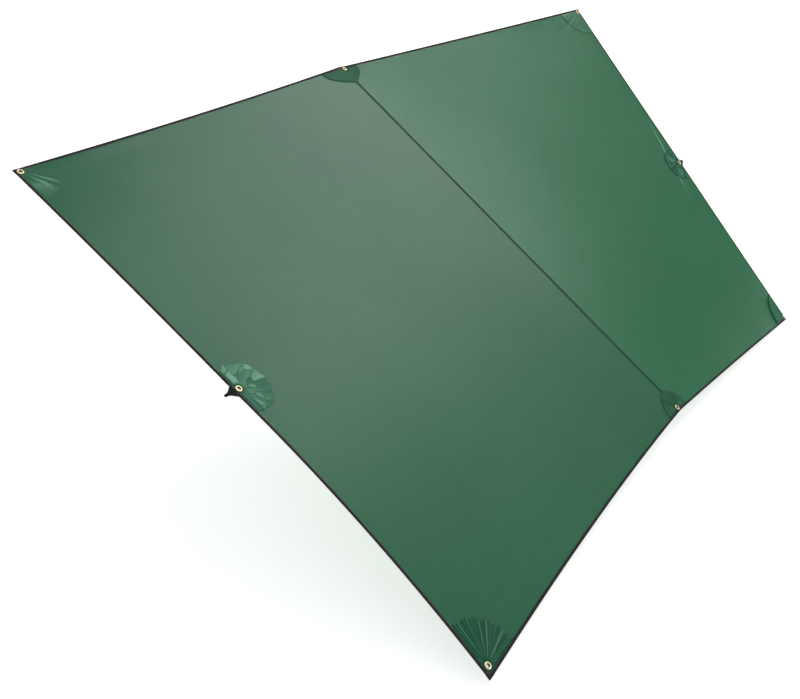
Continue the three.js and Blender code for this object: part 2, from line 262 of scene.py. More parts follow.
def arch(t):
    """A parabola that is 0 at both ends of 0 to 1 and 1 in the middle."""
    return 4 * t * (1 - t)


def tent(v, blur):
    """A tent over 0 to 1 with its peak at the middle, rounded off by blur."""
    return np.hypot(1, blur) - np.hypot(2 * v - 1, blur)


def smooth_step(t):
    """0 below 0, 1 above 1, and a smooth rise between."""
    t = np.clip(t, 0, 1)
    return t * t * (3 - 2 * t)


def taut(wing, u, v):
    """The taut cloth: a ruled surface from the fold line (u = 0) to the straight side edge
    (u = 1), rear (v = 0) to front (v = 1), with the middle of the side edge lifted to its
    eyelet, hollowed edges and a slight sag. Below u = 0 it runs flat to the seam's middle."""
    u, v = np.broadcast_arrays(u, v)
    column = v[..., None]
    fold = wing["fold_rear"] + (seam_front - seam_rear) * column
    edge = wing["rear"] + (wing["front"] - wing["rear"]) * column
    inward = unit(fold - edge)
    hollow = wing["hollow"]
    side_hollow = np.where(
        v < 0.5, hollow["side_rear"] * arch(2 * v), hollow["side_front"] * arch(2 * v - 1)
    )
    w = np.clip(u, 0, 1)
    end_hollow = arch(w) * (hollow["rear"] * (1 - v) ** 2 - hollow["front"] * v ** 2)
    droop = SAG * np.sin(np.pi * w) * np.sin(np.pi * np.clip(v, 0, 1))
    wing_part = (
        fold + (edge - fold) * np.maximum(u, 0)[..., None]
        + wing["lift"] * (tent(v, 0.5 * (1 - w)) * w ** 5)[..., None]
        + inward * (side_hollow * w ** 2)[..., None]
        + seam_direction * end_hollow[..., None]
        - EZ * droop[..., None]
    )
    to_middle = np.minimum(u, 0) * wing["width"]
    return wing_part + EX * (wing["sign"] * to_middle)[..., None]


def cloth_frame(wing, u, v):
    """The taut cloth's point and its upward normal, from differences over a small step."""
    step = 0.003
    across = taut(wing, u + step, v) - taut(wing, u - step, v)
    along = taut(wing, u, v + step) - taut(wing, u, v - step)
    normal = unit(np.cross(unit(across), unit(along)))
    return taut(wing, u, v), normal * np.sign(normal[..., 2:3])


def on_cloth(wing, u, v, height):
    """Points at a height above the taut cloth, measured along its normal, relief included."""
    point, normal = cloth_frame(wing, u, v)
    return point + normal * (height + relief(wing, u, v))[..., None]


# --- Folds and pulls in the cloth -----------------------------------------------------------
# Each tied point draws the cloth into a fan of shallow pulls that die out in the panel. A long
# fold runs past the middle of the far side, and broad shallow waves cross both panels.


def waves(angle, count, phase):
    """Uneven pleats round a tied point: three cosines of unlike counts, from -1 to 1."""
    return (
        0.5 * np.cos(count * angle + phase)
        + 0.3 * np.cos(1.7 * count * angle + 2.1 * phase + 1)
        + 0.2 * np.cos(2.6 * count * angle + 3.7 * phase)
    )


# For each tie: pleats in a full turn, height and reach of the pulls in metres, and phase.
PULLS = {
    "near": {
        "front": (18, 0.0012, 0.13, 2.6), "middle": (16, 0.0008, 0.13, 1.9),
        "rear": (26, 0.0010, 0.15, 0.4),
    },
    "far": {
        "front": (16, 0.0014, 0.20, 3.0), "middle": (14, 0.0018, 0.15, 0.2),
        "rear": (18, 0.0020, 0.16, 1.1),
    },
}
SEAM_PULL = (14, 0.0007, 0.11, 0.8)
# The long fold: its distance from the side edge and lean, the place of its middle from the
# panel's own middle, and its height, half width and half length.
LONG_FOLD = {
    "from_side": 0.082, "lean": -0.20, "middle": 0.045,
    "height": 0.0024, "half": 0.0075, "reach": 0.22,
}
# Slow waves: height in metres, waves across and along in radians a metre, and phase.
SLOW_WAVES = ((0.0008, 5.2, 2.4, 0.6), (0.0005, 9.1, -4.3, 2.0))
FLAT_EDGE = 0.009
FLAT_SEAM = 0.006


def pulled(x, y, count, height, reach, phase):
    """Pleats about an eyelet at x, y = 0, smooth at the eyelet and dying out at reach."""
    r = np.hypot(x, y)
    fade = np.exp(-((r / reach) ** 1.4)) * smooth_step((r - 0.012) / 0.05)
    return height * fade * waves(np.arctan2(y, x), count, phase)


def long_fold(wing, u, v):
    """The long fold's share of its height: a rounded ridge on a leaning line, fading at both
    ends."""
    y = (v - 0.5) * wing["length"]
    off_line = (1 - u) * wing["width"] - (LONG_FOLD["from_side"] + LONG_FOLD["lean"] * y)
    window = np.exp(-(((y - LONG_FOLD["middle"]) / LONG_FOLD["reach"]) ** 4))
    return window * np.exp(-((off_line / LONG_FOLD["half"]) ** 2))


def relief(wing, u, v):
    """Height of the cloth's folds above the taut surface: slow waves, the pulls of every tie
    and the long fold, all flattened towards the edge tapes and the seam."""
    from_side = (1 - u) * wing["width"]
    from_seam = u * wing["width"] + FOLD
    from_rear = v * wing["length"]
    from_front = (1 - v) * wing["length"]
    total = sum(
        tall * np.sin(across * from_seam + along * from_rear + phase)
        for tall, across, along, phase in SLOW_WAVES
    )
    for end, (x0, y0) in wing["ties"].items():
        total = total + pulled(from_side - x0, from_rear - y0, *PULLS[wing["name"]][end])
    for along in (from_rear, from_front):
        total = total + pulled(from_seam, along - SEAM_INSET, *SEAM_PULL)
    if wing["name"] == "far":
        total = total + LONG_FOLD["height"] * long_fold(wing, u, v)
    from_edge = np.minimum(np.minimum(from_side, from_rear), from_front)
    edge_share = smooth_step((from_edge - FLAT_EDGE) / 0.05)
    return total * edge_share * smooth_step((from_seam - FLAT_SEAM) / 0.04)


# --- Panels ---------------------------------------------------------------------------------
# The canopy is plain-woven nylon with a thin polyurethane coat: a smooth satin green that
# greys where it mirrors the sky. Each panel is one cloth width, cut out at its eyelets.

CLOTH_THICK = 0.0004
HOLE_HALF = 0.0065
WEAVE_PITCH = 0.0016  # drawn coarser than the real 0.35 mm threads so that it shows close up
WEAVE_DEEP = 0.00004
GLOSS_SPREAD = 0.008


def weave_height(tree, pitch):
    """A plain weave: the product of two sine waves over the cloth's own coordinates."""
    uv = add_node(tree, "ShaderNodeUVMap", uv_map="cloth")
    parts = add_node(tree, "ShaderNodeSeparateXYZ", {0: uv.outputs["UV"]})
    waves_out = []
    for axis in ("X", "Y"):
        scaled = add_node(
            tree, "ShaderNodeMath", {0: parts.outputs[axis], 1: 2 * np.pi / pitch},
            operation="MULTIPLY",
        )
        wave = add_node(tree, "ShaderNodeMath", {0: scaled.outputs[0]}, operation="SINE")
        waves_out.append(wave.outputs[0])
    return add_node(
        tree, "ShaderNodeMath", {0: waves_out[0], 1: waves_out[1]}, operation="MULTIPLY"
    )


def coated_nylon(name, dark, mid, light, roughness, specular, crinkle, painted_fold_share=0.0, crest=None):
    """Nylon cloth: three greens mixed by slow and fine noise and, where the fold share is above 0,
    by the height of a gathered piece's folds: painted shade in the hollows and painted highlight
    on the crests. Weave and uneven coating are bump. A crest colour is a painted highlight that
    the folds' height mixes in along the folds of otherwise smooth cloth."""
    material, tree, shader = new_material(name)
    place = add_node(tree, "ShaderNodeTexCoord").outputs["Object"]
    slow = add_node(
        tree, "ShaderNodeTexNoise",
        {"Vector": place, "Scale": 1.6, "Detail": 3.0, "Roughness": 0.5},
    )
    fine = add_node(
        tree, "ShaderNodeTexNoise",
        {"Vector": place, "Scale": 26.0, "Detail": 5.0, "Roughness": 0.6},
    )
    tone = add_node(tree, "ShaderNodeMath", {0: slow.outputs[0], 1: 0.75}, operation="MULTIPLY")
    tone = add_node(
        tree, "ShaderNodeMath", {0: fine.outputs[0], 1: 0.25, 2: tone.outputs[0]},
        operation="MULTIPLY_ADD",
    )
    # Painted shade and highlight: the folds' height darkens the hollows and lightens the crests.
    if painted_fold_share > 0:
        height = add_node(tree, "ShaderNodeAttribute", attribute_name="fold").outputs["Fac"]
        spread = add_node(
            tree, "ShaderNodeMapRange", {0: height, 1: 0.0, 2: 1.0, 3: 0.30, 4: 0.72}
        )
        fold_shade_and_highlight = add_node(
            tree, "ShaderNodeMath", {0: spread.outputs[0], 1: painted_fold_share}, operation="MULTIPLY"
        )
        tone = add_node(
            tree, "ShaderNodeMath",
            {0: tone.outputs[0], 1: 1 - painted_fold_share, 2: fold_shade_and_highlight.outputs[0]},
            operation="MULTIPLY_ADD",
        )
    ramp = add_node(tree, "ShaderNodeValToRGB", {0: tone.outputs[0]})
    ramp.color_ramp.elements[0].position = 0.32
    ramp.color_ramp.elements[0].color = linear(dark)
    ramp.color_ramp.elements[1].position = 0.70
    ramp.color_ramp.elements[1].color = linear(light)
    ramp.color_ramp.elements.new(0.5).color = linear(mid)
    colour = ramp.outputs[0]
    if crest is not None:
        # Painted highlight: the crest colour is mixed in by the fold attribute along the folds.
        share = add_node(tree, "ShaderNodeAttribute", attribute_name="fold").outputs["Fac"]
        # Sockets 6, 7 and 2 are the Mix node's two colours and its result.
        painted_highlight = add_node(
            tree, "ShaderNodeMix", {0: share, 6: colour, 7: linear(crest)}, data_type="RGBA"
        )
        colour = painted_highlight.outputs[2]
    tree.links.new(colour, shader.inputs["Base Color"])
    gloss = add_node(
        tree, "ShaderNodeMapRange",
        {0: fine.outputs[0], 1: 0.3, 2: 0.7,
         3: roughness - GLOSS_SPREAD, 4: roughness + GLOSS_SPREAD},
    )
    tree.links.new(gloss.outputs[0], shader.inputs["Roughness"])
    uneven = add_node(
        tree, "ShaderNodeTexNoise",
        {"Vector": place, "Scale": 60.0, "Detail": 4.0, "Roughness": 0.55},
    )
    soft = add_node(
        tree, "ShaderNodeBump",
        {"Strength": 1.0, "Distance": crinkle, "Height": uneven.outputs[0]},
    )
    woven = add_node(
        tree, "ShaderNodeBump",
        {"Strength": 1.0, "Distance": WEAVE_DEEP,
         "Height": weave_height(tree, WEAVE_PITCH).outputs[0], "Normal": soft.outputs[0]},
    )
    tree.links.new(woven.outputs[0], shader.inputs["Normal"])
    shader.inputs["Specular IOR Level"].default_value = specular
    return material


# The two panels are one cloth; each green is painted to how that panel takes the light, the far
# one slightly yellower. The crest colours are painted highlights along folds.
CANOPY = {
    "near": coated_nylon(
        "coated nylon near panel tone", "#2b6245", "#2e6648", "#316a4b", 0.23, 0.15, 0.00001,
        crest="#6b9f84",
    ),
    "far": coated_nylon(
        "coated nylon far panel tone", "#286b47", "#2b6f4a", "#2e734e", 0.23, 0.15, 0.00001,
        crest="#79b493",
    ),
}


def sheet_faces(keep):
    """Quads of a thin closed sheet over a grid: the kept cells above, their twins below, and a
    wall round every free edge. Points are the top grid followed by the bottom grid."""
    rows, columns = keep.shape[0] + 1, keep.shape[1] + 1
    r, c = np.nonzero(keep)
    a = r * columns + c
    top = np.column_stack([a, a + 1, a + columns + 1, a + columns])
    edges = np.concatenate([top[:, [i, (i + 1) % 4]] for i in range(4)])
    low, high = edges.min(axis=1), edges.max(axis=1)
    _, first, count = np.unique(
        low * rows * columns + high, return_index=True, return_counts=True
    )
    free = edges[first[count == 1]]
    under = rows * columns
    walls = np.column_stack([free[:, 1], free[:, 0], free[:, 0] + under, free[:, 1] + under])
    return np.concatenate([top, top[:, ::-1] + under, walls])


def sheet_piece(name, top, bottom, keep, uv, material, flip, fold=None):
    """A closed thin sheet from top and bottom point grids; points no face uses are dropped."""
    faces = sheet_faces(keep)
    points = np.concatenate([top.reshape(-1, 3), bottom.reshape(-1, 3)])
    both_uv = np.concatenate([uv.reshape(-1, 2)] * 2)
    used, faces = np.unique(faces, return_inverse=True)
    faces = faces.reshape(-1, 4)
    if flip:
        faces = faces[:, ::-1]
    if fold is not None:
        fold = np.concatenate([fold.ravel()] * 2)[used]
    return new_piece(name, points[used], faces, material, both_uv[used], fold)


def spaced(start, end, step):
    """Even places from start to end, about step apart, without the end."""
    return np.linspace(start, end, max(2, round((end - start) / step)), endpoint=False)


def panel_lines(length, step, marks, ends):
    """Grid lines over a length: even steps, with the closer lines of each mark in their place."""
    lines = np.concatenate([spaced(0, length, step), [length]])
    close = np.concatenate([mark + ends for mark in marks])
    close = close[(close >= 0) & (close <= length)]
    apart = np.abs(lines[:, None] - close[None]).min(axis=1) > 0.55 * step
    apart[[0, -1]] = True
    close = close[(close > 0.002) & (close < length - 0.002)]
    return np.unique(np.concatenate([lines[apart], close]).round(7))


PANEL_STEP = 0.010
FOLD_BAND_END = 0.026
EYELET_LINES = np.array([-0.012, -HOLE_HALF, 0, HOLE_HALF, 0.012])
FOLD_LINES = np.array([-0.0070, -0.0045, -0.003, -0.0015, 0, 0.0015, 0.003, 0.0045, 0.009])
LONG_FOLD_LINES = np.arange(0.030, 0.130, 0.0035)
LONG_FOLD_BAND = (0.080, 0.053)  # middle and half width of the band that those lines take


def add_panel(wing):
    """One panel from the seam's middle to the side edge, with a square cut-out under each
    eyelet's flange."""
    name, width, length = wing["name"], wing["width"], wing["length"]
    full = width + FOLD
    ties = list(wing["ties"].values())
    across = panel_lines(full, PANEL_STEP, [full - x for x, _ in ties], EYELET_LINES)
    across = across[across > FOLD_BAND_END]
    if name == "far":
        band_middle, band_half = LONG_FOLD_BAND
        across = across[np.abs(full - across - band_middle) > band_half]
        across = np.concatenate([across, full - LONG_FOLD_LINES])
    across = np.unique(np.concatenate([[0, 0.003], FOLD + FOLD_LINES, across]))
    seam_places = [SEAM_INSET, length - SEAM_INSET]
    along = panel_lines(length, PANEL_STEP, seam_places + [y for _, y in ties], EYELET_LINES)
    u = (across[None, :] - FOLD) / width
    v = along[:, None] / length
    u, v = np.broadcast_arrays(u, v)
    mid_across = (across[1:] + across[:-1]) / 2
    mid_along = (along[1:] + along[:-1]) / 2
    keep = np.ones((len(mid_along), len(mid_across)), bool)
    for x, y in [(full - x, y) for x, y in ties] + [(0, y) for y in seam_places]:
        inside_x = np.abs(mid_across - x) < HOLE_HALF
        inside_y = np.abs(mid_along - y) < HOLE_HALF
        keep &= ~(inside_y[:, None] & inside_x[None, :])
    top = on_cloth(wing, u, v, CLOTH_THICK / 2)
    bottom = on_cloth(wing, u, v, -CLOTH_THICK / 2)
    uv = np.stack([u * width, v * length], axis=-1)
    # The long fold's crest gets a painted highlight: this is its share of the far panel's crest
    # colour.
    painted_highlight = long_fold(wing, u, v) ** 3 if name == "far" else np.zeros(u.shape)
    panel = sheet_piece(
        f"{name}_panel_cloth", top, bottom, keep, uv, CANOPY[name], wing["sign"] > 0, painted_highlight
    )
    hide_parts(f"{name}_panel")
    bend_at_fold(panel)


def bend_at_fold(piece):
    """Cloth that crosses a fold line: its placement is baked into its mesh points, on no body."""
    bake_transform(piece)


for wing in wings:
    add_panel(wing)

# --- Centre seam ----------------------------------------------------------------------------
# A flat-felled seam: both panels' edges folded into each other and stitched down with two
# rows, which leaves a raised band of four layers, slightly puckered between the stitches.

SEAM_HALF = 0.0072
SEAM_HIGH = 0.0011
SEAM_END = 0.030
SEAM_ROW = 0.72  # each stitch row's place between the seam's middle and its edge
ROW_DIP = 0.00025
PUCKER_PITCH = 0.013
PUCKER_HIGH = 0.00022
SEAM_STATIONS = 700
SEAM_HALF_RING = 15

# The seam's greens are darker than the panels' and matt: painted shade for the shadow line along
# the raised band.
seam_nylon = coated_nylon(
    "felled nylon seam", "#1d4431", "#224b37", "#29543f", 0.6, 0.05, 0.0002
)


def tube_faces(stations, ring):
    """Quads of a closed ring carried through stations, and the two end caps' fans of quads."""
    s, p = np.meshgrid(np.arange(stations - 1), np.arange(ring), indexing="ij")
    a, b = s * ring + p, s * ring + (p + 1) % ring
    sides = np.stack([a, b, b + ring, a + ring], axis=-1).reshape(-1, 4)
    k = np.arange(ring // 2 - 1)
    cap = np.column_stack([k, ring - 1 - k, ring - 2 - k, k + 1])
    last = (stations - 1) * ring
    return np.concatenate([sides, cap, cap[:, ::-1] + last])


def add_tube(name, points, uv, material, flip=False):
    """A closed tube from a grid of points: stations by ring."""
    faces = tube_faces(*points.shape[:2])
    return new_piece(name, points, faces[:, ::-1] if flip else faces, material, uv)


seam_along = np.linspace(SEAM_END, seam_length - SEAM_END, SEAM_STATIONS)[:, None]
# Half a ring over the top from -1 to 1, and back underneath.
over, under = np.linspace(-1, 1, SEAM_HALF_RING), np.linspace(1, -1, SEAM_HALF_RING)
seam_across = np.concatenate([over, under])[None, :]
on_top = np.arange(2 * SEAM_HALF_RING)[None, :] < SEAM_HALF_RING
pucker = np.cos(2 * np.pi * seam_along / PUCKER_PITCH) * np.cos(2 * np.pi * seam_across * 0.55)
crown = SEAM_HIGH * (1 - seam_across ** 6) + PUCKER_HIGH * pucker
row_dip = ROW_DIP * np.exp(-(((np.abs(seam_across) - SEAM_ROW) / 0.10) ** 2))
seam_height = np.where(on_top, CLOTH_THICK / 2 + crown - row_dip, -CLOTH_THICK / 2 - 0.0001)
seam_points = (
    seam_rear + seam_direction * seam_along[..., None]
    + EX * (SEAM_HALF * seam_across)[..., None]
    + seam_up * seam_height[..., None]
)
seam_uv = np.stack(np.broadcast_arrays(SEAM_HALF * seam_across, seam_along), axis=-1)
seam = add_tube("centre_seam_fell", seam_points, seam_uv, seam_nylon)
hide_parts("centre_seam")
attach(seam, "centre_seam")

# --- Stitching ------------------------------------------------------------------------------
# Bonded polyester thread in lockstitch: separate short stitches lie on the cloth, each dipping
# into it at both ends. A stitch is drawn a little thick for its length so that it shows.

STITCH_PITCH = 0.0045
STITCH_LONG = 0.0034
THREAD_HALF = 0.00032
STITCH_SIDES = 6


def mottle(tree, shader, scale, detail, roughness, dark, light):
    """Base colour mixed from dark to light by fine noise over the piece; both are a place on
    the noise and a colour. Gives back the noise's socket."""
    place = add_node(tree, "ShaderNodeTexCoord").outputs["Object"]
    noise = add_node(
        tree, "ShaderNodeTexNoise",
        {"Vector": place, "Scale": scale, "Detail": detail, "Roughness": roughness},
    )
    ramp = add_node(tree, "ShaderNodeValToRGB", {0: noise.outputs[0]})
    for element, (position, colour) in zip(ramp.color_ramp.elements, (dark, light)):
        element.position = position
        element.color = linear(colour)
    tree.links.new(ramp.outputs[0], shader.inputs["Base Color"])
    return noise.outputs[0]


thread_material, thread_tree, thread_shader = new_material("bonded polyester thread")
thread_shader.inputs["Roughness"].default_value = 0.55
thread_shader.inputs["Sheen Weight"].default_value = 0.3
mottle(thread_tree, thread_shader, 300.0, 2.0, 0.5, (0.35, "#1d3327"), (0.7, "#33513f"))


def add_stitches(name, centres, directions, normals):
    """One small closed spindle for each stitch: six-sided rings at four stations, thickest in
    the middle, bowed up from the cloth."""
    lengthwise = np.array([-0.5, -0.3, 0.3, 0.5]) * STITCH_LONG
    girth = np.array([0.35, 1, 1, 0.35]) * THREAD_HALF
    bow = np.array([-0.0002, 0.0001, 0.0001, -0.0002])
    turn_angle = np.linspace(0, 2 * np.pi, STITCH_SIDES, endpoint=False)
    sideways = np.cross(directions, normals)
    base = (
        centres[:, None, None]
        + directions[:, None, None] * lengthwise[None, :, None, None]
        + normals[:, None, None] * bow[None, :, None, None]
    )
    ring = (
        sideways[:, None, None] * np.cos(turn_angle)[None, None, :, None]
        + normals[:, None, None] * np.sin(turn_angle)[None, None, :, None]
    )
    points = base + ring * girth[None, :, None, None]
    one = tube_faces(len(lengthwise), STITCH_SIDES)
    first = len(lengthwise) * STITCH_SIDES * np.arange(len(centres))
    faces = (one[None] + first[:, None, None]).reshape(-1, 4)
    return new_piece(name, points, faces, thread_material)


stitch_along = np.arange(SEAM_END + 0.003, seam_length - SEAM_END - 0.003, STITCH_PITCH)
seam_centres = np.concatenate([
    seam_rear + seam_direction * stitch_along[:, None] + EX * SEAM_HALF * share
    + seam_up * (CLOTH_THICK / 2 + SEAM_HIGH * 0.72)
    for share in (-SEAM_ROW, SEAM_ROW)
])
seam_stitches = add_stitches(
    "centre_seam_stitching", seam_centres,
    np.tile(seam_direction, (len(seam_centres), 1)), np.tile(seam_up, (len(seam_centres), 1)),
)
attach(seam_stitches, "centre_seam")

# --- Edge tapes -----------------------------------------------------------------------------
# Grosgrain tape, 16 mm wide, folded in half over the cloth's raw edge and stitched through
# both legs. Its cross ribs catch the light, and it puckers a little along the stitching.

TAPE_WIDE = 0.008
TAPE_LOW = 0.0003
TAPE_THICK = 0.0008
RIB_PITCH = 0.0022  # real ribs are about 1 mm apart; drawn wider so that they show close up
RIB_HIGH = 0.00012
TAPE_STITCH = 0.0064
TAPE_BULGE = 0.0008
TAPE_PUCKER = 0.00028
TAPE_PUCKER_PITCH = 0.019
SIDE_STEP = 0.004
END_STEP = 0.006

tape_material, tape_tree, tape_shader = new_material("grosgrain binding tape")
tape_uv = add_node(tape_tree, "ShaderNodeUVMap", uv_map="cloth")
tape_parts = add_node(tape_tree, "ShaderNodeSeparateXYZ", {0: tape_uv.outputs["UV"]})
tape_phase = add_node(
    tape_tree, "ShaderNodeMath", {0: tape_parts.outputs["Y"], 1: 2 * np.pi / RIB_PITCH},
    operation="MULTIPLY",
)
tape_ribs = add_node(tape_tree, "ShaderNodeMath", {0: tape_phase.outputs[0]}, operation="SINE")
mottle(tape_tree, tape_shader, 45.0, 6.0, 0.65, (0.3, "#1c151a"), (0.72, "#372b33"))
tape_bump = add_node(
    tape_tree, "ShaderNodeBump",
    {"Strength": 1.0, "Distance": RIB_HIGH, "Height": tape_ribs.outputs[0]},
)
tape_tree.links.new(tape_bump.outputs[0], tape_shader.inputs["Normal"])
tape_shader.inputs["Roughness"].default_value = 0.78
tape_shader.inputs["Specular IOR Level"].default_value = 0.2


def tape_section():
    """Distance in from the edge and height round the folded tape: over the top leg, round the
    outer fold, back along the lower leg, and returning inside."""
    crown = TAPE_LOW + TAPE_THICK
    leg = np.array([1.0, 0.93, 0.85, 0.8, 0.74, 0.55, 0.35, 0.15]) * TAPE_WIDE
    rise = np.array([0.35, 0.8, 0.92, 0.8, 0.95, 1.05, 1.05, 1.0]) * crown
    bend = np.radians(np.linspace(75, -75, 6))
    fold = np.column_stack([-TAPE_BULGE * np.cos(bend), crown * np.sin(bend)])
    top = np.column_stack([leg, rise])
    under = top[::-1] * [1, -1]
    inside_leg = np.array([1.0, 0.66, 0.33, 0.0]) * TAPE_WIDE - 0.0001
    inside = np.column_stack([inside_leg[::-1], np.full(4, TAPE_LOW)])
    lower = inside[::-1] * [1, -1]
    return np.concatenate([top, fold, under, lower, inside])


SECTION = tape_section()


def tape_points(wing, u, v, inward_u, inward_v, lift, distance):
    """The section carried along an edge: the edge's places u, v, the steps in u and v for one
    metre inwards, an even lift of both legs, and a pucker by distance along the tape."""
    turn = 2 * np.pi * distance / TAPE_PUCKER_PITCH + 1.3 * np.sin(distance * 11)
    pucker = TAPE_PUCKER * np.sin(turn)
    wide = SECTION[:, 0][None] * (1 + 0.05 * np.sin(distance * 37)[:, None])
    height = SECTION[:, 1][None]
    shape = np.sign(height) * smooth_step(SECTION[:, 0] / TAPE_WIDE + 0.2)[None]
    height = height + np.sign(height) * lift[:, None] + pucker[:, None] * shape
    grid_u = u[:, None] + inward_u * wide
    grid_v = v[:, None] + inward_v * wide
    point, normal = cloth_frame(wing, grid_u, grid_v)
    round_section = np.arange(1, len(SECTION) + 1)[None] * 0.001
    uv = np.stack(np.broadcast_arrays(round_section, distance[:, None]), axis=-1)
    return point + normal * height[..., None], uv


def tape_stitches(name, wing, u, v):
    """Stitches along the upper and lower legs at the given places."""
    point, normal = cloth_frame(wing, u, v)
    direction = unit(np.gradient(point, axis=0))
    height = TAPE_LOW + TAPE_THICK * 0.9
    centres = np.concatenate([point + normal * height, point - normal * height])
    return add_stitches(
        name, centres, np.concatenate([direction] * 2), np.concatenate([normal, -normal])
    )


def add_tapes(wing):
    """The side tape, and the front and rear tapes, which run under it at the corners."""
    name, width, length = wing["name"], wing["width"], wing["length"]
    body = f"{name}_wing"
    halves = [(0, length / 2), (length / 2, length)]
    distance = np.concatenate([spaced(*half, SIDE_STEP) for half in halves] + [[length]])
    v = distance / length
    near_end = np.minimum(distance, length - distance)
    lift = (TAPE_THICK + 0.0002) * (1 - smooth_step((near_end - 0.008) / 0.012))
    points, uv = tape_points(wing, np.ones_like(v), v, -1 / width, 0, lift, distance)
    side = add_tube(f"{name}_side_tape", points, uv, tape_material, wing["sign"] < 0)
    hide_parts(f"{name}_side_binding")
    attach(side, body)
    at = np.arange(0.006, length - 0.006, STITCH_PITCH)
    row = tape_stitches(
        f"{name}_side_stitching", wing, np.full(len(at), 1 - TAPE_STITCH / width), at / length
    )
    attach(row, body)

    for end, v_edge, inward in (("rear", 0.0, 1.0), ("front", 1.0, -1.0)):
        past_fold = spaced(FOLD_BAND_END + 0.001, width + FOLD - 0.002, END_STEP)
        across = np.concatenate([[0.0, 0.004], FOLD + FOLD_LINES[1:], past_fold])
        u = (across - FOLD) / width
        flat = np.zeros_like(across)
        points, uv = tape_points(
            wing, u, np.full(len(u), v_edge), 0, inward / length, flat, across
        )
        tape = add_tube(
            f"{name}_{end}_tape", points, uv, tape_material, wing["sign"] * inward > 0
        )
        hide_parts(f"{name}_{end}_binding")
        if name == "near":
            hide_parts(f"{end}_seam_binding")
        bend_at_fold(tape)
        at = np.arange(0.022, width + FOLD - 0.012, STITCH_PITCH)
        row = tape_stitches(
            f"{name}_{end}_stitching", wing, (at - FOLD) / width,
            np.full(len(at), v_edge + inward * TAPE_STITCH / length),
        )
        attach(row, body)


for wing in wings:
    add_tapes(wing)

# --- Reinforcing patches --------------------------------------------------------------------
# A second layer of the same nylon is sewn over each tied point. The pull of the tie gathers
# it: the near rear corner into a fan of sharp pleats, the sides into crumpled half rounds.

PATCH_UP = 0.0004
CORNER_RADIUS = 0.140
MIDDLE_RADIUS = 0.080
MIDDLE_IN = 0.042
SEAM_END_RADIUS = 0.088
# The front kite's straight edges: direction in degrees from the eyelet, and distance.
FRONT_KITE = {
    "near": ((0, 0.141), (-57, 0.090), (-73, 0.075)),
    "far": ((0, 0.068), (-50, 0.061)),
}
TAPE_CLEAR = 0.0015
EYELET_GAP = 0.0064
FULL_TURN = (0, 2 * np.pi)
FACETS = 22
FACET_LONG = 2.3
FACET_BLEND = 0.005
CREASE_HALF = 0.004

# One nylon in three copies whose colours follow the folds' height: painted shade in the hollows
# and painted highlight on the crests. The gathered copy's pale end is a painted highlight on the
# pleats, and the crumpled copy is lighter throughout, a painted reflection off its facets.
patch_nylon = coated_nylon(
    "reinforcing nylon", "#164530", "#265b41", "#316b4d", 0.5, 0.07, 0.0001, 0.85
)
gathered_nylon = coated_nylon(
    "gathered nylon", "#0f4a31", "#236549", "#74ad91", 0.42, 0.15, 0.0001, 0.85
)
crumpled_nylon = coated_nylon(
    "crumpled nylon", "#28604a", "#3d785c", "#76a88e", 0.40, 0.12, 0.0001, 0.85
)


def ridged(angle, count, phase):
    """Sharp-crested pleats from 0 to 1, uneven in height, width and spacing."""
    warped = angle + 0.05 * np.sin(7 * angle + phase) + 0.03 * np.sin(17 * angle)
    crest = 1 - np.abs(np.sin(count * warped / 2 + phase))
    uneven = 0.62 + 0.38 * np.cos(0.37 * count * warped + 2 * phase)
    return crest ** (0.8 - 0.35 * np.cos(0.23 * count * warped)) * uneven


def crumple(x, y, seed):
    """Tilted facets between creases, from 0 to 1: every seeded centre owns a plane and draws its
    facet out away from the eyelet, a point takes the planes of its nearest centres, and it is
    low where two centres are equally near."""
    rng = np.random.default_rng(seed)
    centre_x, centre_y = rng.uniform(-0.03, 0.085, FACETS), rng.uniform(-0.085, 0.085, FACETS)
    turn_by = np.arctan2(centre_y, centre_x) + rng.normal(0, 0.5, FACETS)
    tilt, level = rng.uniform(3, 10, FACETS), rng.uniform(0.25, 0.95, FACETS)
    off_x, off_y = x[..., None] - centre_x, y[..., None] - centre_y
    lengthwise = off_x * np.cos(turn_by) + off_y * np.sin(turn_by)
    sideways = off_y * np.cos(turn_by) - off_x * np.sin(turn_by)
    away = np.hypot(lengthwise, FACET_LONG * sideways)
    nearest = np.sort(away, axis=-1)
    share = np.exp(-(away - nearest[..., :1]) / FACET_BLEND)
    plane = (share * (level - tilt * sideways)).sum(axis=-1) / share.sum(axis=-1)
    crease = np.exp(-(((nearest[..., 1] - nearest[..., 0]) / CREASE_HALF) ** 2))
    return np.clip(1.4 * plane - 0.2, 0.1, 1) * (1 - 0.45 * crease)


def spoke(angle, at, half):
    """A single fold that runs out from the eyelet at an angle."""
    return np.exp(-(((angle - at) / half) ** 2))


def round_about(centre_x, centre_y, radius):
    """An outline measured from the eyelet: a circle whose centre lies at those distances."""
    def reach(angle):
        nearest = centre_x * np.cos(angle) + centre_y * np.sin(angle)
        return nearest + np.sqrt(radius ** 2 - centre_x ** 2 - centre_y ** 2 + nearest ** 2)
    return reach


def cut_by(lines):
    """An outline cut by straight lines, each given by the direction and distance of its nearest
    point to the eyelet, with its corners rounded."""
    def reach(angle):
        nearness = sum(
            (np.maximum(np.cos(angle - np.radians(at)), 1e-3) / distance) ** 14
            for at, distance in lines
        )
        return nearness ** (-1 / 14)
    return reach


def held_in(reach, x_low=None, y_low=None, y_high=None):
    """An outline that is cut off by straight lines at those distances from the eyelet."""
    def bound(angle):
        limit = reach(angle)
        cos, sin = np.cos(angle), np.sin(angle)
        for room, towards in ((x_low, -cos), (y_low, -sin), (y_high, sin)):
            if room is not None:
                limit = np.minimum(limit, room / np.maximum(towards, 1e-3))
        return limit
    return bound


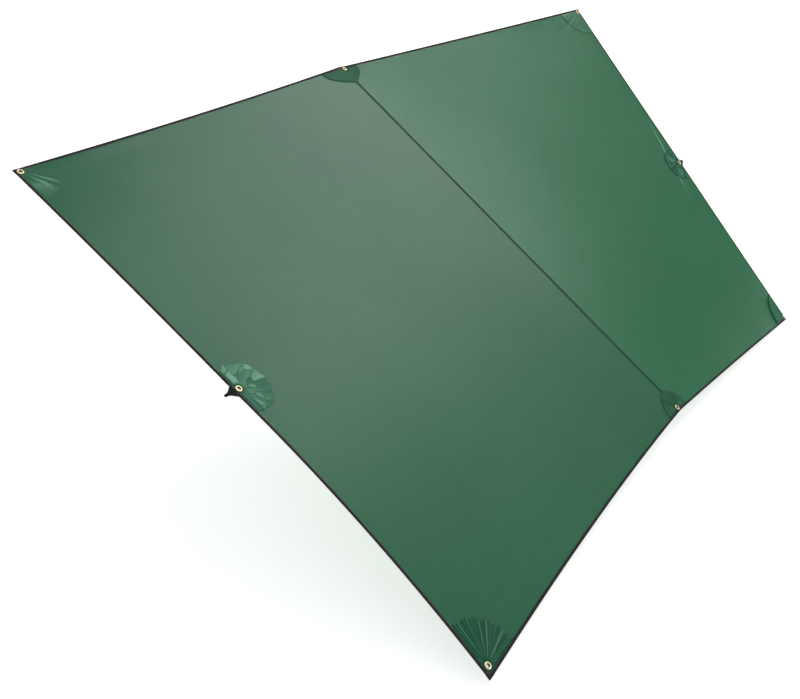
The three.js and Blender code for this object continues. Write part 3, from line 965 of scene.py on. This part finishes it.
def add_patch(name, wing, centre, bound, folds, grid, material, nodes):
    """A patch round an eyelet, as a polar grid over the cloth. centre is the edge that x is
    measured from and the eyelet's distances from it and from the rear edge; bound gives the
    outline's distance at each angle; folds gives the folds from 0 to 1 and their full height."""
    origin, x0, y0 = centre
    rings, turns, steps = grid
    angle = np.linspace(*turns, steps)[None, :]
    share = np.linspace(0, 1, rings)[:, None]
    r = EYELET_GAP + (bound(angle) - EYELET_GAP) * share
    x, y = r * np.cos(angle), r * np.sin(angle)
    from_edge = x0 + x
    u = 1 - from_edge / wing["width"] if origin == "side" else (from_edge - FOLD) / wing["width"]
    v = (y0 + y) / wing["length"]
    from_end = np.minimum(y0 + y, wing["length"] - y0 - y)
    from_tape = np.minimum(from_end, (1 - u) * wing["width"]) - TAPE_WIDE
    free = smooth_step((r - 0.0105) / 0.012) * smooth_step((from_tape - 0.0005) / 0.006)
    shape, tall = folds(x, y, r, angle, share)
    height = PATCH_UP + free * tall * shape
    top = on_cloth(wing, u, v, height + CLOTH_THICK)
    bottom = on_cloth(wing, u, v, height)
    uv = np.stack([u * wing["width"], v * wing["length"]], axis=-1)
    keep = np.ones((rings - 1, steps - 1), bool)
    flip = (wing["sign"] > 0) != (origin == "side")
    crest = np.broadcast_to(shape * free, r.shape)
    patch = sheet_piece(name, top, bottom, keep, uv, material, flip, crest)
    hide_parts(*nodes)
    return patch


def fan_folds(x, y, r, angle, share):
    """The near rear corner: sharp pleats all the way from the eyelet to a ragged edge."""
    return ridged(angle, 54, 0.7) * (1 - 0.25 * share ** 3), 0.046 * r * (1 - 0.45 * share ** 2)


def front_near_folds(x, y, r, angle, share):
    """The near front corner: two long pulls, and a crumpled spot beside the tape."""
    pulls = spoke(angle, 5.50, 0.07) + 0.7 * spoke(angle, 5.17, 0.09)
    pulls = pulls * smooth_step((r - 0.015) / 0.03) * smooth_step((0.115 - r) / 0.05)
    spot = crumple(x, y + 0.08, 5) * np.exp(-(((x - 0.010) ** 2 + (y + 0.075) ** 2) / 0.024 ** 2))
    return np.clip(0.9 * pulls + spot, 0, 1), 0.0030


def front_far_folds(x, y, r, angle, share):
    """The far front corner: slack folds inside a low rolled edge."""
    return 0.06 * crumple(x, y, 9) + 0.03 * smooth_step((share - 0.93) / 0.05), 0.018


def rear_far_folds(x, y, r, angle, share):
    """The far rear corner: narrow deep folds that gather at the eyelet."""
    return 1 - 0.9 * ridged(angle, 26, 2.9) ** 2 * (1 - 0.7 * share), 0.030 * r


# The two front corners use the canopy cloths, whose crest colour paints a highlight along these
# pulls and folds; the rear ones take the patch copies' painted shade and highlight.
CORNER_PATCHES = {
    "near_rear": (fan_folds, gathered_nylon, (34, FULL_TURN, 720), 0.0040),
    "near_front": (front_near_folds, CANOPY["near"], (60, FULL_TURN, 480), 0.0010),
    "far_front": (front_far_folds, CANOPY["far"], (40, FULL_TURN, 320), 0.0012),
    "far_rear": (rear_far_folds, patch_nylon, (26, FULL_TURN, 360), 0.0020),
}


def add_corner_patch(wing, end):
    """The quarter-round patch in one outer corner."""
    folds, material, grid, ragged = CORNER_PATCHES[f"{wing['name']}_{end}"]
    x0, y0 = wing["ties"][end]
    towards = -1 if end == "rear" else 1
    outline = round_about(-x0, towards * x0, CORNER_RADIUS)

    def reach(angle):
        return outline(angle) + ragged * (np.cos(46 * angle) + 0.6 * np.cos(19 * angle + 1))

    room = x0 - TAPE_WIDE + TAPE_CLEAR
    limits = {"x_low": room, "y_low" if end == "rear" else "y_high": room}
    patch = add_patch(
        f"{wing['name']}_{end}_corner_gather", wing, ("side", x0, y0), held_in(reach, **limits),
        folds, grid, material, [f"{wing['name']}_{end}_corner_patch"],
    )
    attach(patch, f"{wing['name']}_wing")


def near_middle_folds(x, y, r, angle, share):
    """The middle of the near side: a crumpled round."""
    return crumple(x, y, 7), 0.0060 * (1 - 0.35 * share ** 3)


def far_middle_folds(x, y, r, angle, share):
    """The middle of the far side: folds along the edge that bend round the eyelet."""
    lengthwise = 0.5 + 0.5 * np.cos(2 * np.pi * (x / 0.016 + 24 * y ** 2 + 0.1 * np.sin(45 * y)))
    return (0.55 * lengthwise + 0.45 * crumple(x, y, 12)) * (1 - 0.3 * share ** 3), 0.0045


def add_middle_patch(wing, folds, material):
    """The round at the middle of a side edge."""
    x0, y0 = wing["ties"]["middle"]
    outline = round_about(MIDDLE_IN - x0, 0, MIDDLE_RADIUS)

    def reach(angle):
        return outline(angle) + 0.0022 * np.cos(9 * angle + 1) + 0.0014 * np.cos(23 * angle)

    patch = add_patch(
        f"{wing['name']}_middle_crumple", wing, ("side", x0, y0),
        held_in(reach, x_low=x0 - TAPE_WIDE + TAPE_CLEAR), folds,
        (60, FULL_TURN, 300), material, [f"{wing['name']}_middle_patch"],
    )
    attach(patch, f"{wing['name']}_wing")


def add_seam_patch(wing, end):
    """One wing's half of a seam-end patch: a kite at the front, and a creased half round at the
    rear."""
    towards = -1 if end == "rear" else 1
    y0 = SEAM_INSET if end == "rear" else wing["length"] - SEAM_INSET
    if end == "front":
        reach = cut_by(FRONT_KITE[wing["name"]])
    else:
        reach = round_about(0, towards * SEAM_INSET, SEAM_END_RADIUS)

    def folds(x, y, r, angle, share):
        seam_rise = 0.55 * (1 - smooth_step((np.abs(x) - SEAM_HALF) / 0.004))
        creases = 0.8 * crumple(x, y, 21) if end == "rear" else 0.5 + 0.25 * crumple(x, y, 4)
        # The rim dips, and the fold colour paints it as a dark outline: painted shade along the
        # patch's edge.
        rim_dip_and_shade = -0.5 * smooth_step((share - 0.93) / 0.05)
        return np.maximum(seam_rise, creases * smooth_step(share / 0.2) + rim_dip_and_shade), 0.0024

    nodes = [f"{end}_seam_patch_{wing['name']}"]
    if wing["name"] == "near":
        nodes.append(f"{end}_seam_patch_centre")
    room = SEAM_INSET - TAPE_WIDE + TAPE_CLEAR
    limits = {"y_low" if end == "rear" else "y_high": room}
    patch = add_patch(
        f"{end}_seam_{wing['name']}_patch", wing, ("seam", 0.0, y0), held_in(reach, **limits),
        folds, (34, (-np.pi / 2, np.pi / 2), 180), patch_nylon, nodes,
    )
    bend_at_fold(patch)


for wing in wings:
    for end in ("front", "rear"):
        add_corner_patch(wing, end)
        add_seam_patch(wing, end)
add_middle_patch(near, near_middle_folds, crumpled_nylon)
add_middle_patch(far, far_middle_folds, gathered_nylon)

# --- Eyelets --------------------------------------------------------------------------------
# Pressed brass eyelets: a domed flange with a rolled rim, and a barrel clenched over a plain
# washer underneath. Bright lacquered brass, duller where fingers and cords have rubbed it.

brass_material, brass_tree, brass_shader = new_material("lacquered brass")
brass_noise = mottle(
    brass_tree, brass_shader, 220.0, 5.0, 0.6, (0.3, "#e3cf9c"), (0.7, "#fff4d6")
)
brass_gloss = add_node(
    brass_tree, "ShaderNodeMapRange", {0: brass_noise, 1: 0.3, 2: 0.7, 3: 0.42, 4: 0.3}
)
brass_tree.links.new(brass_gloss.outputs[0], brass_shader.inputs["Roughness"])
brass_shader.inputs["Metallic"].default_value = 1.0

# Inside the bore the brass is dark brown: partly tarnish, partly painted shade of the hole.
bore_tarnish_and_shade_material, bore_tarnish_and_shade_tree, bore_tarnish_and_shade_shader = new_material("brass bore tarnish and painted shade")
mottle(bore_tarnish_and_shade_tree, bore_tarnish_and_shade_shader, 400.0, 4.0, 0.6, (0.3, "#3a2a18"), (0.7, "#75592f"))
bore_tarnish_and_shade_shader.inputs["Metallic"].default_value = 0.6
bore_tarnish_and_shade_shader.inputs["Roughness"].default_value = 0.6

BORE = 0.0055
TURN_STEPS = 72
# Closed profiles of radius and height in millimetres, from the hole round to the hole again.
EYELET_PROFILE = [
    (5.0, -3.4), (5.3, -3.7), (6.2, -3.8), (7.2, -3.65), (7.6, -3.35), (7.3, -3.05), (6.4, -2.9),
    (5.7, -2.8), (5.6, -1.5), (5.6, 1.6), (5.9, 2.1), (7.0, 2.2), (8.8, 2.15), (9.5, 1.75),
    (9.95, 1.75), (10.1, 2.1), (9.95, 2.7), (9.5, 3.4), (8.8, 3.95), (7.9, 4.2), (7.0, 4.15),
    (6.1, 3.8), (5.4, 3.2), (5.0, 2.4),
]
WASHER_PROFILE = [
    (5.9, -1.9), (9.3, -1.8), (9.9, -1.85), (10.0, -2.1), (9.9, -2.4), (9.3, -2.55), (7.8, -2.6),
    (6.4, -2.7), (5.9, -2.6),
]


def add_turned(name, profile, centre, axis):
    """A closed profile turned about an axis through centre, dark brown inside the bore: tarnish
    and painted shade.
    """
    ring = np.array(profile) / 1000
    angle = np.linspace(0, 2 * np.pi, TURN_STEPS, endpoint=False)
    x_axis = unit(np.cross(axis, EX))
    y_axis = np.cross(axis, x_axis)
    radial = np.cos(angle)[:, None] * x_axis + np.sin(angle)[:, None] * y_axis
    points = centre + radial[:, None] * ring[None, :, :1] + axis * ring[None, :, 1:]
    size = len(ring)
    s, p = np.meshgrid(np.arange(TURN_STEPS), np.arange(size), indexing="ij")
    after_s, after_p = (s + 1) % TURN_STEPS, (p + 1) % size
    faces = np.stack(
        [s * size + p, after_s * size + p, after_s * size + after_p, s * size + after_p], axis=-1
    ).reshape(-1, 4)
    turned = new_piece(name, points, faces, brass_material)
    turned.data.materials.append(bore_tarnish_and_shade_material)
    narrow = ring[:, 0] <= BORE
    inner = np.tile(narrow & np.roll(narrow, -1), TURN_STEPS)
    turned.data.polygons.foreach_set("material_index", inner.astype(np.int32))
    return turned


EYELET_BODIES = {
    "near": "near_wing", "far": "far_wing", "rear": "centre_seam", "front": "centre_seam",
}
for mount_name, mount in mounts.items():
    if not mount_name.endswith("_eyelet_face"):
        continue
    place = mount_name.removesuffix("_eyelet_face")
    body = EYELET_BODIES[place.split("_")[0]]
    axis = unit(np.array(mount["axis"]))
    for suffix, profile in (("eyelet", EYELET_PROFILE), ("washer", WASHER_PROFILE)):
        turned = add_turned(f"{place}_brass_{suffix}", profile, hole_centre(place), axis)
        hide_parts(f"{place}_{suffix}")
        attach(turned, body)

# --- Webbing loops --------------------------------------------------------------------------
# A length of woven webbing is folded to a point outside the middle of each side edge, and its
# two ends are sewn side by side under the tape. Its narrow point is where a cord pulls.

WEBBING_PITCH = 0.003  # real webbing yarns are about 1 mm apart; drawn wider so that they show
WEBBING_DEEP = 0.0002

webbing_material, webbing_tree, webbing_shader = new_material("woven polyester webbing")
mottle(webbing_tree, webbing_shader, 120.0, 5.0, 0.6, (0.3, "#0f0b0e"), (0.72, "#231c21"))
webbing_weave = add_node(
    webbing_tree, "ShaderNodeBump",
    {"Strength": 1.0, "Distance": WEBBING_DEEP,
     "Height": weave_height(webbing_tree, WEBBING_PITCH).outputs[0]},
)
webbing_tree.links.new(webbing_weave.outputs[0], webbing_shader.inputs["Normal"])
webbing_shader.inputs["Roughness"].default_value = 0.8
webbing_shader.inputs["Specular IOR Level"].default_value = 0.2

LOOP_LAP = 0.0006
LOOP_ROOT = 0.0034
LOOP_LIFT = {"near": 0.0023, "far": 0.0}  # lets the near loop fold down clear of its tape
LOOP_REACH = 0.0335
LOOP_THICK = 0.0014
LOOP_TIP_HALF = 0.0024
LOOP_ROOT_HALF = 0.0090
LEG_RISE = 0.0008
TIP_DROOP = 0.0030
# The strap's cross section, as shares of its half width and half thickness.
STRAP_SECTION = np.array([
    (-1, -0.6), (-0.8, -1), (0, -1.05), (0.8, -1), (1, -0.6),
    (1, 0.6), (0.8, 1), (0, 1.05), (-0.8, 1), (-1, 0.6),
])
# The sewn end's cross section: distance in from the cloth's edge, and height.
SEWN_IN = np.array([0.0056, 0.0056, 0.0028, -0.0012, -0.0012, 0.0028])
SEWN_UP = np.array([-0.0030, -0.0018, -0.0017, -0.0018, -0.0030, -0.0031])
SEWN_HALF = 0.0172
TACK_STITCHES = 22
TACK_HALF = 0.0135
TACK_IN = 0.0036
TACK_LEAN = 0.0011
TACK_UP = 0.0016


def add_strap(wing):
    """The loop as one strap: out along one leg, round the point and back along the other. The
    strap spreads towards the root, where it is cut square, and its legs lap over each other."""
    name = wing["name"]
    edge, normal = (a[0] for a in cloth_frame(wing, np.array([1.0]), np.array([0.5])))
    edge = edge + normal * LOOP_LIFT[name]
    along = unit(wing["front"] - wing["rear"])
    outward = unit(np.cross(along, normal))
    outward = outward * np.sign(outward[0] * wing["sign"])
    t = np.linspace(-1, 1, 61)
    leg = np.sign(t) * smooth_step(np.abs(t) / 0.25)
    reach = LOOP_ROOT + (LOOP_REACH - LOOP_ROOT) * (1 - np.abs(t) ** 2.2)
    flare = np.clip((np.abs(t) - 0.40) / 0.60, 0, 1) ** 2.5
    half = LOOP_TIP_HALF + (LOOP_ROOT_HALF - LOOP_TIP_HALF) * flare
    spread = leg * (half - LOOP_LAP)
    rise = LEG_RISE * leg - TIP_DROOP * (1 - np.abs(t)) ** 2
    centre = (
        edge + outward * reach[:, None] + along * spread[:, None] + normal * rise[:, None]
    )
    direction = unit(np.gradient(centre, axis=0))
    sideways = unit(np.cross(normal, direction))
    up = np.cross(direction, sideways)
    wide, thick = STRAP_SECTION.T
    points = (
        centre[:, None]
        + sideways[:, None] * (half[:, None] * wide[None])[..., None]
        + up[:, None] * (LOOP_THICK / 2 * thick[None, :, None])
    )
    short = LOOP_ROOT - (points - edge) @ outward
    points = points + outward * np.maximum(short, 0)[..., None]
    travelled = np.concatenate([[0], np.cumsum(np.linalg.norm(np.diff(centre, axis=0), axis=1))])
    uv = np.stack(np.broadcast_arrays(wide[None] * 0.006, travelled[:, None]), axis=-1)
    loop = add_tube(f"{name}_loop_strap", points, uv, webbing_material)
    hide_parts(f"{name}_loop")
    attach(loop, f"{name}_loop")


def add_sewn_end(wing):
    """The strap's two ends under the tape, as one flat band along the edge, and the zigzag of
    stitches that holds them down."""
    name, width, length = wing["name"], wing["width"], wing["length"]
    share = np.linspace(-1, 1, 36)[:, None]
    u, v = np.broadcast_arrays(1 - SEWN_IN[None] / width, 0.5 + SEWN_HALF * share / length)
    point, up = cloth_frame(wing, u, v)
    points = point + up * SEWN_UP[None, :, None]
    uv = np.stack([u * width, v * length], axis=-1)
    tail = add_tube(f"{name}_loop_sewn_end", points, uv, webbing_material, wing["sign"] < 0)
    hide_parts(f"{name}_loop_tail")
    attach(tail, f"{name}_wing")

    at = np.linspace(-TACK_HALF, TACK_HALF, TACK_STITCHES)
    lean = np.where(np.arange(TACK_STITCHES) % 2, TACK_LEAN, -TACK_LEAN)
    point, up = cloth_frame(wing, 1 - (TACK_IN + lean) / width, 0.5 + at / length)
    tack = add_stitches(
        f"{name}_loop_zigzag", point + up * TACK_UP, unit(np.gradient(point, axis=0)), up
    )
    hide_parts(f"{name}_loop_bartack")
    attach(tack, f"{name}_wing")


for wing in wings:
    add_strap(wing)
    add_sewn_end(wing)
